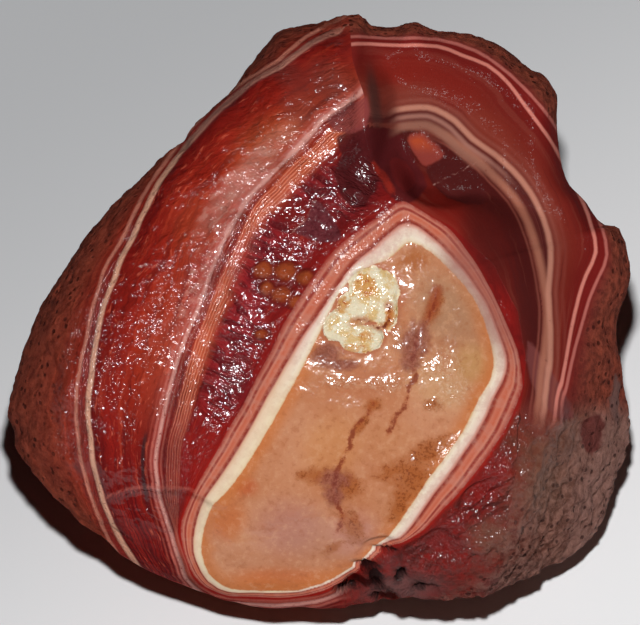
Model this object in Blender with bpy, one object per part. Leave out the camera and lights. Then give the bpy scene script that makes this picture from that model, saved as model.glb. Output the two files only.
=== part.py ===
"""Agate nodule: one water-worn banded stone, lying on the small flat spot that it rests on.

The stone is shaped as it is seen squarely from its worn face: u runs to the right, v up and w towards
the viewer, in millimetres from its middle. It is then leaned back, as the face looks forward and up.
"""

import math

import bmesh
import bpy
from mathutils import Vector, noise

MM = 0.001

# Driving dimensions, in millimetres unless a name says otherwise
FACE_LEAN = math.radians(55.0)
FACE_RISE = 14.5
BACK_DEPTH = 23.0
FACE_FULLNESS = 2.7
BACK_FULLNESS = 2.05
FOOT_DROP = 24.0
MIDDLE_ABOVE_FOOT = Vector((0.06, -0.46, FOOT_DROP))
NET_CUTS = 28

# The outline around the worn face, clockwise from the left
OUTLINE = (
    (-31.2, -10.0), (-30.0, -5.0), (-28.7, -1.5), (-27.2, 1.5), (-25.0, 4.8), (-23.0, 7.7),
    (-20.8, 10.5), (-18.3, 12.8), (-15.0, 16.0), (-13.6, 16.8), (-13.0, 18.0), (-11.0, 19.8),
    (-9.0, 21.5), (-7.0, 24.3), (-5.0, 26.8), (-4.0, 27.8), (-1.8, 28.4), (0.0, 28.8),
    (2.0, 29.8), (4.0, 30.0), (5.2, 28.5), (7.8, 28.4), (9.8, 29.3), (11.7, 28.1),
    (14.5, 27.8), (18.0, 26.5), (21.0, 24.1), (22.3, 23.5), (23.7, 21.4), (23.7, 18.5),
    (24.6, 13.3), (26.3, 11.1), (28.2, 8.6), (29.9, 8.1), (30.8, 4.5), (30.7, 2.0),
    (29.6, -1.5), (30.3, -6.0), (31.1, -10.5), (31.4, -13.5), (30.4, -18.2), (28.0, -22.8),
    (24.0, -26.5), (20.0, -28.4), (17.0, -29.5), (10.0, -29.9), (6.0, -30.3), (3.5, -29.1),
    (1.8, -29.7), (-2.0, -29.6), (-6.5, -29.4), (-12.5, -27.7), (-19.5, -25.1), (-25.5, -20.7),
    (-29.0, -17.3), (-30.5, -14.0), (-30.5, -12.2),
)
OUTLINE_STEPS = 4

# The hollow at the upper right, to the right of a ridge that the worn face ends in
RIDGE = (
    (20.0, -9.5), (20.6, -5.0), (19.6, 0.0), (17.2, 4.6), (13.0, 8.3), (8.2, 10.8), (5.5, 13.9),
    (4.5, 17.7), (4.4, 21.2), (3.2, 25.0), (2.8, 31.0),
)
HOLLOW_DEPTH = 5.2
HOLLOW_WALL = 5.0
HOLLOW_SLOPE = 10.0
HOLLOW_TOP = 13.5
HOLLOW_FOOT = -10.0
WALL_TOP = 14.0
WALL_FOOT = 7.0

# The step across the lower left of the face, where a flake has come off below it
FLAKE_EDGE = ((-21.5, -18.8), (-19.5, -17.9), (-16.8, -17.6), (-13.0, -17.8), (-10.3, -19.2))
FLAKE_DEPTH = 1.0
FLAKE_LENGTH = 9.5

# The wrinkled trough between the bands and the pale core
TROUGH = ((6.0, 14.5), (2.5, 12.0), (-1.5, 8.0), (-4.5, 3.5), (-7.0, -2.5), (-9.5, -8.5))
TROUGH_DEPTH = 0.9
TROUGH_REACH = 3.8

# Dents of the face and its rim: place, radius across, radius up, depth and turn in degrees
DENTS = (
    ((4.8, 15.2), 3.0, 4.4, 1.1, -18.0),
    ((0.6, 9.0), 2.6, 2.2, 0.8, 20.0),
    ((12.0, 12.6), 4.4, 2.8, 1.3, -8.0),
    ((5.8, -24.2), 2.6, 1.6, 0.8, 30.0),
    ((16.2, -19.0), 3.4, 2.2, 1.1, 30.0),
    ((12.0, -23.4), 2.6, 1.8, 0.8, 0.0),
    ((-25.5, -13.0), 3.0, 2.0, 0.7, 60.0),
    ((-21.0, -22.5), 3.2, 1.5, 0.6, -30.0),
)

# Holes broken into the rim: place, radius and depth
HOLES = (
    ((4.6, -28.6, 4.2), 3.6, 2.3),
    ((8.6, -29.6, 1.6), 3.4, 1.8),
    ((29.8, -15.6, 3.4), 3.6, 1.5),
)

# Worn flats and chips: the way each one looks, and how far it lies from the middle
FLATS = (
    ((0.86, -0.30, 0.42), 28.0),
    ((0.66, -0.64, 0.40), 30.4),
    ((-0.55, 0.55, 0.62), 21.2),
    ((-0.80, -0.05, -0.60), 27.2),
    ((0.10, 0.93, -0.36), 26.8),
    ((0.80, 0.20, -0.56), 27.4),
    ((0.20, 0.45, -0.87), 25.6),
    ((-0.50, 0.52, -0.69), 23.8),
    ((0.15, -0.97, -0.20), 28.6),
    ((-0.66, -0.66, -0.35), 28.6),
)
FLAT_CROWN = 0.18

# Broad and small lumps of the husk: their spacing and height
LUMPS = ((15.0, 1.3), (6.5, 0.75), (3.4, 0.4))


def smooth(start, end, value):
    """0 below start and 1 above end, with a soft rise between them."""
    part = min(max((value - start) / (end - start), 0.0), 1.0)
    return part * part * (3.0 - 2.0 * part)


def rounded(points, steps):
    """The closed curve through the points, with this many steps between each two."""
    curve = []
    count = len(points)
    for index in range(count):
        before, start, end, after = (Vector(points[(index + k) % count]) for k in (-1, 0, 1, 2))
        for step in range(steps):
            t = step / steps
            curve.append(0.5 * (
                2.0 * start
                + (end - before) * t
                + (2.0 * before - 5.0 * start + 4.0 * end - after) * t ** 2
                + (3.0 * start - before - 3.0 * end + after) * t ** 3
            ))
    return curve


def outline_rays():
    """The outline as (angle, reach) pairs that rise from -pi to pi."""
    curve = rounded(OUTLINE, OUTLINE_STEPS)
    return sorted((math.atan2(p.y, p.x), p.length) for p in curve)


def outline_reach(rays, angle):
    """How far the outline lies from the middle at this angle."""
    high = next((k for k, ray in enumerate(rays) if ray[0] > angle), 0)
    start, end = rays[high - 1], rays[high]
    span = (end[0] - start[0]) % math.tau
    part = ((angle - start[0]) % math.tau) / span
    return start[1] + (end[1] - start[1]) * part


def beside(path, place):
    """The distance from a path of points, positive to the right of its run."""
    nearest = None
    for start, end in zip(path, path[1:]):
        start, end = Vector(start), Vector(end)
        run = end - start
        part = min(max((place - start).dot(run) / run.length_squared, 0.0), 1.0)
        off = place - (start + run * part)
        if nearest is None or off.length < abs(nearest):
            right = run.y * off.x - run.x * off.y
            nearest = math.copysign(off.length, right)
    return nearest


def body(direction, rays):
    """The full stone before anything was worn or broken off it."""
    across = Vector((direction.x, direction.y))
    spread = min(across.length, 1.0)
    reach = outline_reach(rays, math.atan2(across.y, across.x)) if spread > 0.0 else 0.0
    plan = across * reach
    if direction.z >= 0.0:
        fullness, height = FACE_FULLNESS, FACE_RISE
    else:
        fullness, height = BACK_FULLNESS, -BACK_DEPTH
    depth = height * math.sqrt(max(1.0 - spread ** fullness, 0.0))
    return Vector((plan.x, plan.y, depth)), spread


def flattened(point):
    """The point, drawn in to any worn flat that it stands out over."""
    for looks, distance in FLATS:
        normal = Vector(looks).normalized()
        excess = point.dot(normal) - distance
        if excess > 0.0:
            point = point - normal * excess * (1.0 - FLAT_CROWN)
    return point


def hollow(place, spread):
    """How deep the upper right hollow is at this place of the face."""
    off = beside(RIDGE, place)
    steep = smooth(WALL_FOOT, WALL_TOP, place.y)
    wall = HOLLOW_SLOPE + (HOLLOW_WALL - HOLLOW_SLOPE) * steep
    fade_down = smooth(HOLLOW_FOOT, HOLLOW_TOP, place.y)
    fade_out = 1.0 - smooth(0.74, 0.98, spread)
    return HOLLOW_DEPTH * smooth(0.0, wall, off) * fade_down * fade_out


def flake(place):
    """How deep the lower left flake is, deepest just below its edge."""
    off = beside(FLAKE_EDGE, place)
    ends = smooth(-24.5, -18.5, place.x) * (1.0 - smooth(-13.0, -9.0, place.x))
    return FLAKE_DEPTH * smooth(0.0, 0.8, off) * (1.0 - smooth(1.0, FLAKE_LENGTH, off)) * ends


def trough(place):
    """How deep the wrinkled trough is."""
    off = abs(beside(TROUGH, place))
    return TROUGH_DEPTH * (1.0 - smooth(0.35 * TROUGH_REACH, TROUGH_REACH, off))


def dents(place):
    """How deep the dents are together at this place of the face."""
    deep = 0.0
    for centre, wide, tall, depth, turn in DENTS:
        off = place - Vector(centre)
        turned = Vector((
            off.x * math.cos(math.radians(turn)) + off.y * math.sin(math.radians(turn)),
            off.y * math.cos(math.radians(turn)) - off.x * math.sin(math.radians(turn)),
        ))
        far = math.hypot(turned.x / wide, turned.y / tall)
        deep += depth * (1.0 - smooth(0.35, 1.0, far))
    return deep


def holes(point):
    """How deep the rim's holes are together at this point."""
    deep = 0.0
    for centre, radius, depth in HOLES:
        deep += depth * (1.0 - smooth(0.25, 1.0, (point - Vector(centre)).length / radius))
    return deep


def lumps(point, spread, front):
    """The height of the husk's lumps, which the worn face has hardly any of."""
    husk = 1.0 if not front else smooth(0.62, 0.97, spread)
    height = 0.0
    for spacing, size in LUMPS:
        height += size * noise.noise(point / spacing)
    return height * (0.12 + 0.88 * husk)


def shaped(direction, rays):
    """The stone's surface in this direction from its middle, in its own face frame."""
    point, spread = body(direction, rays)
    front = direction.z >= 0.0
    rim = smooth(0.90, 1.0, spread)
    point = flattened(point)
    outward = point.normalized()
    if front:
        place = Vector((point.x, point.y))
        point.z -= hollow(place, spread) + flake(place) + trough(place)
        point -= outward * (dents(place) + holes(point))
    swell = lumps(point, spread, front)
    swell *= 1.0 - 0.75 * rim
    return point + outward * swell


def leaned(point):
    """A point of the face frame, in metres, as the stone lies on its foot."""
    sine, cosine = math.sin(FACE_LEAN), math.cos(FACE_LEAN)
    lying = Vector((
        point.x,
        point.y * sine - point.z * cosine,
        point.y * cosine + point.z * sine,
    ))
    lying.z = max(lying.z, -FOOT_DROP)
    return (lying + MIDDLE_ABOVE_FOOT) * MM


def even_net():
    """A ball of near-even squares, as a cube cut into a net and swelled."""
    net = bmesh.new()
    bmesh.ops.create_cube(net, size=2.0)
    bmesh.ops.subdivide_edges(net, edges=net.edges[:], cuts=NET_CUTS - 1, use_grid_fill=True)
    for vert in net.verts:
        spread = [math.tan(value * math.pi / 4.0) for value in vert.co]
        vert.co = Vector(spread).normalized()
    return net


def stone_material():
    """Deep red banded stone, wet-looking where it is worn."""
    material = bpy.data.materials.new("red_agate")
    material.use_nodes = True
    shader = material.node_tree.nodes["Principled BSDF"]
    shader.inputs["Base Color"].default_value = (0.235, 0.035, 0.024, 1.0)
    shader.inputs["Roughness"].default_value = 0.28
    shader.inputs["Metallic"].default_value = 0.0
    return material


def build_stone():
    """The one solid of the nodule."""
    rays = outline_rays()
    net = even_net()
    for vert in net.verts:
        vert.co = leaned(shaped(vert.co, rays))
    bmesh.ops.triangulate(net, faces=net.faces[:])
    bmesh.ops.recalc_face_normals(net, faces=net.faces[:])
    mesh = bpy.data.meshes.new("agate_nodule")
    net.to_mesh(mesh)
    net.free()
    mesh.shade_smooth()
    stone = bpy.data.objects.new("agate_nodule", mesh)
    stone.data.materials.append(stone_material())
    bpy.context.scene.collection.objects.link(stone)
    return stone


def main():
    for old in list(bpy.data.objects):
        bpy.data.objects.remove(old, do_unlink=True)
    build_stone()


main()
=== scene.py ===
"""The looks of the agate nodule: its fine surface, its bands and colours, and a plain studio around it.

The stone is described as it is seen squarely from its worn face: u to the right, v up and w towards the
viewer, in millimetres from its middle. Band lines are given curves in that plane.
"""

import math

import bmesh
import bpy
import numpy as np
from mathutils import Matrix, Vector, noise


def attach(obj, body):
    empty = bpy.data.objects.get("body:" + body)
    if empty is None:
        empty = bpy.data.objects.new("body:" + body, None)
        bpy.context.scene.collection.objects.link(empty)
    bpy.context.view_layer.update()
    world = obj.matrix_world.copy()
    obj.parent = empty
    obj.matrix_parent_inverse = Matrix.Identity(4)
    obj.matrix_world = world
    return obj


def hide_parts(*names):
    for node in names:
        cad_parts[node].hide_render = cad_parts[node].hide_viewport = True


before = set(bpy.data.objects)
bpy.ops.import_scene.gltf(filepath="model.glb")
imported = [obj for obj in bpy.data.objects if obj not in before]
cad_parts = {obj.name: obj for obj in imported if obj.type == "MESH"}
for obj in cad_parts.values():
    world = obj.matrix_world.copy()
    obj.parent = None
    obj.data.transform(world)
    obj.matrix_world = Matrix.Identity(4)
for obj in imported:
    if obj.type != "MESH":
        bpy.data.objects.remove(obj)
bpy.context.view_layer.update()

MM = 0.001

# The form of the solid, in millimetres
FACE_LEAN = math.radians(55.0)
FACE_RISE = 14.5
BACK_DEPTH = 23.0
FACE_FULLNESS = 2.7
BACK_FULLNESS = 2.05
FOOT_DROP = 24.0
MIDDLE_ABOVE_FOOT = (0.06, -0.46, FOOT_DROP)
NET_CUTS = 127

OUTLINE = (
    (-31.2, -10.0), (-30.0, -5.0), (-28.7, -1.5), (-27.2, 1.5), (-25.0, 4.8), (-23.0, 7.7),
    (-20.8, 10.5), (-18.3, 12.8), (-15.0, 16.0), (-13.6, 16.8), (-13.0, 18.0), (-11.0, 19.8),
    (-9.0, 21.5), (-7.0, 24.3), (-5.0, 26.8), (-4.0, 27.8), (-1.8, 28.4), (0.0, 28.8),
    (2.0, 29.8), (4.0, 30.0), (5.2, 28.5), (7.8, 28.4), (9.8, 29.3), (11.7, 28.1),
    (14.5, 27.8), (18.0, 26.5), (21.0, 24.1), (22.3, 23.5), (23.7, 21.4), (23.7, 18.5),
    (24.6, 13.3), (26.3, 11.1), (28.2, 8.6), (29.9, 8.1), (30.8, 4.5), (30.7, 2.0),
    (29.6, -1.5), (30.3, -6.0), (31.1, -10.5), (31.4, -13.5), (30.4, -18.2), (28.0, -22.8),
    (24.0, -26.5), (20.0, -28.4), (17.0, -29.5), (10.0, -29.9), (6.0, -30.3), (3.5, -29.1),
    (1.8, -29.7), (-2.0, -29.6), (-6.5, -29.4), (-12.5, -27.7), (-19.5, -25.1), (-25.5, -20.7),
    (-29.0, -17.3), (-30.5, -14.0), (-30.5, -12.2),
)
OUTLINE_STEPS = 4

RIDGE = (
    (20.0, -9.5), (20.6, -5.0), (19.6, 0.0), (17.2, 4.6), (13.0, 8.3), (8.2, 10.8), (5.5, 13.9),
    (4.5, 17.7), (4.4, 21.2), (3.2, 25.0), (2.8, 31.0),
)
HOLLOW_DEPTH = 5.2
HOLLOW_WALL = 3.4
HOLLOW_SLOPE = 10.0
HOLLOW_TOP = 13.5
HOLLOW_FOOT = -10.0
WALL_TOP = 14.0
WALL_FOOT = 7.0

FLAKE_EDGE = ((-21.5, -18.8), (-19.5, -17.9), (-16.8, -17.6), (-13.0, -17.8), (-10.3, -19.2))
FLAKE_DEPTH = 1.0
FLAKE_LENGTH = 9.5

TROUGH = ((6.0, 14.5), (2.5, 12.0), (-1.5, 8.0), (-4.5, 3.5), (-7.0, -2.5), (-9.5, -8.5))
TROUGH_DEPTH = 0.9
TROUGH_REACH = 3.8

# Place, radius across, radius up, depth and turn in degrees
DENTS = (
    ((4.8, 15.2), 3.0, 4.4, 1.1, -18.0),
    ((0.6, 9.0), 2.6, 2.2, 0.8, 20.0),
    ((12.0, 12.6), 4.4, 2.8, 1.3, -8.0),
    ((5.8, -24.2), 2.6, 1.6, 0.8, 30.0),
    ((16.2, -19.0), 3.4, 2.2, 1.1, 30.0),
    ((12.0, -23.4), 2.6, 1.8, 0.8, 0.0),
    ((-25.5, -13.0), 3.0, 2.0, 0.7, 60.0),
    ((-21.0, -22.5), 3.2, 1.5, 0.6, -30.0),
)
HOLES = (
    ((4.6, -28.6, 4.2), 3.6, 2.3),
    ((8.6, -29.6, 1.6), 3.4, 1.8),
    ((29.8, -15.6, 3.4), 3.6, 1.5),
)
FLATS = (
    ((0.86, -0.30, 0.42), 28.0),
    ((0.66, -0.64, 0.40), 30.4),
    ((-0.55, 0.55, 0.62), 21.2),
    ((-0.80, -0.05, -0.60), 27.2),
    ((0.10, 0.93, -0.36), 26.8),
    ((0.80, 0.20, -0.56), 27.4),
    ((0.20, 0.45, -0.87), 25.6),
    ((-0.50, 0.52, -0.69), 23.8),
    ((0.15, -0.97, -0.20), 28.6),
    ((-0.66, -0.66, -0.35), 28.6),
)
FLAT_CROWN = 0.18
LUMPS = ((15.0, 1.3), (6.5, 0.75), (3.4, 0.4))

# Closed curves around the pale core, from the inside out
CORE_EDGE = (
    (9.2, 6.7), (11.0, 5.7), (13.0, 3.9), (15.0, 1.5), (16.4, -1.3), (17.1, -3.8), (17.2, -5.6),
    (16.9, -7.0), (15.8, -8.9), (14.9, -10.6), (14.1, -12.0), (12.6, -14.4), (11.0, -16.5),
    (9.4, -18.9), (8.2, -20.6), (7.0, -22.3), (5.5, -23.5), (4.0, -25.0), (2.0, -26.3),
    (0.0, -27.3), (-2.0, -27.9), (-4.0, -28.0), (-7.0, -27.9), (-8.8, -27.8), (-10.5, -26.9),
    (-11.6, -25.3), (-11.8, -23.0), (-11.3, -21.0), (-10.6, -19.3), (-9.2, -18.0), (-7.5, -15.7),
    (-5.8, -13.0), (-4.2, -10.2), (-2.7, -7.5), (-1.5, -5.2), (-0.3, -2.8), (1.5, 1.0),
    (2.5, 2.5), (4.0, 4.0), (6.5, 4.9), (8.3, 6.4),
)
WHITE_EDGE = (
    (8.7, 8.8), (11.0, 7.4), (13.0, 5.5), (15.0, 3.0), (16.7, 0.5), (18.0, -2.5), (18.6, -4.4),
    (18.5, -6.0), (17.6, -8.2), (16.7, -10.2), (15.5, -12.5), (13.7, -15.2), (11.8, -17.8),
    (10.4, -19.6), (9.2, -21.4), (8.0, -22.7), (6.3, -23.3), (4.2, -25.2), (2.1, -26.5),
    (0.0, -27.5), (-2.0, -28.1), (-4.0, -28.2), (-7.0, -28.15), (-9.0, -28.1), (-11.2, -27.1),
    (-12.4, -25.0), (-12.7, -23.0), (-12.2, -20.5), (-11.5, -18.7), (-10.3, -17.0), (-8.8, -14.7),
    (-7.3, -12.3), (-5.8, -9.5), (-4.5, -7.2), (-3.2, -5.0), (-1.7, -2.5), (-0.2, -0.5),
    (1.5, 2.0), (3.2, 4.4), (5.0, 6.0), (7.0, 7.8),
)
SALMON_EDGE = (
    (8.0, 10.8), (9.0, 10.5), (11.0, 9.3), (13.0, 7.9), (15.0, 5.3), (17.0, 2.0), (18.7, -1.5),
    (19.7, -4.0), (20.1, -6.5), (20.1, -8.0), (19.2, -10.2), (18.0, -12.5), (16.7, -14.5),
    (15.0, -16.7), (13.2, -18.8), (11.5, -20.6), (9.9, -22.1), (8.0, -23.2), (6.4, -23.8),
    (4.3, -25.6), (2.3, -27.0), (0.0, -28.0), (-2.0, -28.6), (-4.0, -28.7), (-7.0, -28.6),
    (-9.2, -28.5), (-11.3, -27.7), (-12.6, -26.4), (-13.3, -25.0), (-13.9, -22.5), (-13.8, -21.0),
    (-13.0, -19.0), (-12.0, -17.0), (-10.5, -14.5), (-9.2, -12.0), (-7.7, -9.5), (-6.2, -6.5),
    (-4.8, -4.0), (-3.7, -1.5), (-2.0, 1.2), (-0.3, 3.8), (1.5, 6.0), (4.0, 8.0), (6.5, 9.8),
)

# Open curves of the left side, from the ridge down to the lower rim, from the inside out
FINE_INNER = (
    (6.5, 21.3), (2.5, 17.3), (0.5, 15.3), (-1.5, 13.3), (-3.5, 11.2), (-5.2, 9.5), (-6.2, 7.7),
    (-7.3, 5.0), (-8.5, 2.5), (-9.5, 0.0), (-10.5, -2.5), (-11.3, -4.7), (-12.0, -7.0),
    (-12.7, -9.5), (-13.3, -12.0), (-13.8, -14.0), (-14.0, -17.0), (-14.0, -19.5), (-14.2, -22.5),
    (-13.6, -25.1), (-12.8, -26.7), (-11.4, -28.1), (-9.2, -28.9), (-4.0, -29.1), (0.0, -28.5),
    (4.6, -26.2), (8.0, -24.0),
)
FINE_OUTER = (
    (5.5, 22.6), (1.3, 18.4), (-0.7, 16.4), (-2.7, 14.5), (-4.7, 12.4), (-6.4, 10.6), (-7.6, 8.4),
    (-8.8, 5.6), (-10.0, 3.1), (-11.0, 0.6), (-12.0, -2.0), (-12.8, -4.2), (-13.5, -6.7),
    (-14.2, -9.2), (-14.8, -11.7), (-15.3, -13.8), (-15.4, -17.0), (-15.2, -19.5), (-14.55, -22.4),
    (-13.8, -25.1), (-13.0, -26.9), (-11.5, -28.3), (-9.2, -29.1), (-4.0, -29.3), (0.0, -28.8),
    (4.8, -26.5), (8.4, -24.4),
)
PINK_LEFT = (
    (6.2, 23.6), (3.8, 21.3), (0.2, 18.8), (-2.0, 16.3), (-4.5, 13.8), (-6.8, 11.7), (-8.3, 9.2),
    (-9.8, 6.5), (-10.8, 4.0), (-11.8, 1.0), (-13.0, -2.0), (-14.0, -4.5), (-14.8, -7.2),
    (-15.4, -10.0), (-16.0, -13.0), (-16.3, -15.0), (-16.1, -17.5), (-15.7, -19.7), (-14.8, -22.5),
    (-14.0, -25.0), (-13.2, -27.0), (-11.6, -28.5), (-9.2, -29.3), (-4.0, -29.5), (0.0, -29.0),
    (5.0, -26.8), (8.8, -24.8),
)
INNER_LEFT = (
    (2.0, 28.0), (-0.9, 26.6), (-4.0, 24.3), (-6.5, 22.9), (-8.5, 21.3), (-10.0, 20.0),
    (-12.0, 17.9), (-14.0, 15.6), (-16.0, 12.8), (-17.2, 10.5), (-18.3, 8.0), (-19.5, 5.5),
    (-20.5, 3.0), (-21.5, 0.5), (-22.1, -2.0), (-22.5, -4.5), (-22.8, -7.0), (-23.1, -10.2),
    (-22.8, -13.0), (-22.5, -15.5), (-22.0, -17.7), (-21.2, -20.2), (-20.0, -22.7),
    (-18.8, -24.7), (-17.4, -26.6), (-14.0, -29.5), (-6.0, -31.5), (4.0, -31.5), (12.0, -31.5),
)
OUTER_LEFT = (
    (2.6, 29.4), (-1.4, 27.3), (-4.3, 24.8), (-6.9, 23.3), (-9.0, 21.8), (-10.6, 20.6),
    (-12.6, 18.4), (-14.8, 15.7), (-17.0, 12.5), (-18.2, 10.3), (-19.3, 7.8), (-20.5, 5.7),
    (-21.5, 3.8), (-22.3, 1.3), (-22.9, -1.0), (-23.4, -3.5), (-23.9, -5.8), (-24.2, -8.2),
    (-24.3, -10.7), (-24.0, -13.5), (-23.6, -16.0), (-22.7, -19.0), (-21.6, -21.7),
    (-20.3, -24.2), (-18.8, -26.3), (-15.0, -30.0), (-6.0, -32.5), (4.0, -32.5), (12.0, -32.5),
)

# Open curves of the hollow and the right side, from the ridge down, from the inside out
TAN_RIGHT = (
    (5.6, 18.4), (7.6, 18.1), (10.0, 17.9), (12.5, 16.9), (15.6, 14.6), (17.0, 13.1), (19.0, 11.0),
    (20.3, 8.5), (21.3, 5.5), (21.9, 2.5), (22.2, -0.5), (22.0, -3.5), (21.7, -6.2), (21.4, -9.0),
    (20.6, -12.0), (18.6, -15.5), (15.5, -19.5), (11.5, -23.5),
)
PINK_RIGHT = (
    (4.6, 19.6), (6.3, 19.3), (7.4, 19.9), (10.0, 20.2), (11.5, 20.0), (13.5, 18.8), (15.2, 17.1),
    (17.2, 15.7), (19.2, 14.0), (21.0, 11.7), (22.3, 9.0), (23.0, 6.2), (22.9, 3.5), (22.7, 1.5),
    (22.9, -1.5), (22.9, -5.0), (22.6, -8.0), (21.9, -11.5), (19.8, -16.0), (16.5, -20.5),
    (12.0, -25.0),
)
INNER_RIGHT = (
    (0.0, 25.5), (2.5, 26.4), (5.0, 26.5), (8.0, 26.4), (11.7, 26.3), (14.0, 25.5), (16.7, 24.4),
    (18.8, 22.6), (20.2, 20.7), (21.8, 18.5), (23.5, 16.1), (24.9, 13.4), (26.3, 10.7),
    (27.1, 8.3), (27.5, 5.8), (26.6, 3.6), (25.7, 1.0), (25.0, -2.0), (24.4, -5.5), (23.6, -9.2),
    (22.6, -13.0), (20.5, -17.5), (17.2, -22.0), (12.5, -26.5),
)
OUTER_RIGHT = (
    (0.0, 26.5), (2.5, 27.2), (5.0, 27.2), (8.0, 27.1), (11.7, 27.0), (15.5, 25.9), (17.9, 24.3),
    (20.0, 22.5), (22.0, 20.3), (23.8, 17.9), (25.2, 14.6), (26.6, 11.6), (28.0, 8.6), (28.6, 5.5),
    (27.8, 3.3), (26.8, 1.0), (25.9, -2.0), (25.0, -5.5), (24.2, -9.2), (23.4, -13.0),
    (21.2, -18.0), (17.8, -22.8), (13.0, -27.3),
)
CURVE_STEPS = 2

# The folds run down to the right: their turn in degrees from the level, and how far they are drawn out
FOLD_TURN = -28.0
FOLD_STRETCH = 2.2

# The fine surface, in millimetres, but a pit's radius is in spacings and its slope is per spacing
PIT_SPACING = 1.7
PIT_RADIUS = 0.42
PIT_SLOPE = 0.8
WEB_HEIGHT = 0.10
GRAIN_HEIGHT = 0.15
FOLD_DEPTH = 0.60
RIPPLE_HEIGHT = 0.13
CRAG_HEIGHT = 0.75
CAVITY_DEPTH = 0.9
KNOB_BASE = 0.20
KNOB_HEIGHT = 0.30
CRACK_DEPTH = 0.25
EYE_HEIGHT = 0.55
LENS_HEIGHT = 0.14

# The paint: how many fine lines the fine band holds, and what the wet stone's shader takes
FINE_LINES = 6.0
LEAST_GLOSS = 0.03
COAT_ROUGHNESS = 0.14
COAT_IOR = 1.45
AGATE_IOR = 1.54
GLOW_WEIGHT = 0.06
GLOW_RADIUS = (1.0, 0.35, 0.2)
GLOW_SCALE = 0.0010


def smooth(start, end, value):
    """0 below start and 1 above end, with a soft rise between them."""
    part = np.clip((value - start) / (end - start), 0.0, 1.0)
    return part * part * (3.0 - 2.0 * part)


def rounded(points, steps, closed):
    """The curve through the points, with this many steps between each two."""
    places = np.array(points, dtype=float)
    if closed:
        padded = np.vstack((places[-1], places, places[:2]))
    else:
        padded = np.vstack((places[0], places, places[-1]))
    curve = []
    for before, start, end, after in zip(padded, padded[1:], padded[2:], padded[3:]):
        for step in range(steps):
            t = step / steps
            curve.append(0.5 * (
                2.0 * start
                + (end - before) * t
                + (2.0 * before - 5.0 * start + 4.0 * end - after) * t ** 2
                + (3.0 * start - before - 3.0 * end + after) * t ** 3
            ))
    curve.append(places[0] if closed else places[-1])
    return np.array(curve)


def beside(path, places):
    """The distance of each place from a path, positive to the right of its run."""
    nearest = np.full(len(places), np.inf)
    signed = np.zeros(len(places))
    for start, end in zip(path, path[1:]):
        run = end - start
        off = places - start
        part = np.clip(off @ run / (run @ run), 0.0, 1.0)
        off = off - part[:, None] * run
        far = np.hypot(off[:, 0], off[:, 1])
        closer = far < nearest
        nearest[closer] = far[closer]
        right = run[1] * off[:, 0] - run[0] * off[:, 1]
        signed[closer] = np.copysign(far, right)[closer]
    return signed


def inside(path, places):
    """Whether each place lies within a closed path."""
    within = np.zeros(len(places), dtype=bool)
    for start, end in zip(path, path[1:]):
        crosses = (start[1] > places[:, 1]) != (end[1] > places[:, 1])
        if crosses.any():
            rise = end[1] - start[1]
            at = start[0] + (places[:, 1] - start[1]) / rise * (end[0] - start[0])
            within ^= crosses & (places[:, 0] < at)
    return within


def around(points, places):
    """The distance outward from a closed curve, negative inside it."""
    path = rounded(points, CURVE_STEPS, True)
    far = np.abs(beside(path, places))
    return np.where(inside(path, places), -far, far)


def along(points, places, outward):
    """The distance outward from an open curve: outward is 1 where that is to the right of its run."""
    return outward * beside(rounded(points, CURVE_STEPS, False), places)


def nested(offsets):
    """A measure that rises by one from each curve to the next one out."""
    total = np.zeros(len(offsets[0]))
    for inner, outer in zip(offsets, offsets[1:]):
        total += np.clip(inner / np.maximum(inner - outer, 1e-6), 0.0, 1.0) * (outer < 0.0)
        total += 1.0 * (outer >= 0.0)
    return total


def crumple(points, spacing, layers=1):
    """Smooth noise from -1 to 1 at each point, with this spacing in millimetres."""
    if layers == 1:
        return np.array([noise.noise(Vector(p) / spacing) for p in points])
    return np.array([noise.fractal(Vector(p) / spacing, 0.8, 2.1, layers) for p in points])


def cells(points, spacing):
    """The distances of each point to the nearest two of scattered seeds, in spacings."""
    return np.array([noise.voronoi(Vector(p) / spacing)[0][:2] for p in points]).T


def even_net():
    """A ball of near-even squares, as a cube cut into a net and swelled."""
    net = bmesh.new()
    bmesh.ops.create_cube(net, size=2.0)
    bmesh.ops.subdivide_edges(net, edges=net.edges[:], cuts=NET_CUTS - 1, use_grid_fill=True)
    mesh = bpy.data.meshes.new("stone_skin")
    net.to_mesh(mesh)
    net.free()
    places = np.empty(len(mesh.vertices) * 3)
    mesh.vertices.foreach_get("co", places)
    swelled = np.tan(places.reshape(-1, 3) * math.pi / 4.0)
    return mesh, swelled / np.linalg.norm(swelled, axis=1)[:, None]


def body(directions):
    """The full stone before anything was worn off it, its spread, and which points are in front."""
    curve = rounded(OUTLINE, OUTLINE_STEPS, True)[:-1]
    angles = np.arctan2(curve[:, 1], curve[:, 0])
    spread = np.minimum(np.hypot(directions[:, 0], directions[:, 1]), 1.0)
    heading = np.arctan2(directions[:, 1], directions[:, 0])
    reach = np.interp(heading, angles, np.hypot(*curve.T), period=math.tau)
    front = directions[:, 2] >= 0.0
    fullness = np.where(front, FACE_FULLNESS, BACK_FULLNESS)
    height = np.where(front, FACE_RISE, -BACK_DEPTH)
    depth = height * np.sqrt(np.maximum(1.0 - spread ** fullness, 0.0))
    points = np.column_stack((directions[:, 0] * reach, directions[:, 1] * reach, depth))
    return points, spread, front


def flattened(points):
    """The points drawn in to the worn flats, and how much was worn off at each."""
    worn = np.zeros(len(points))
    for looks, distance in FLATS:
        normal = np.array(looks) / np.linalg.norm(looks)
        excess = np.maximum(points @ normal - distance, 0.0) * (1.0 - FLAT_CROWN)
        points = points - excess[:, None] * normal
        worn += excess
    return points, worn


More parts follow.
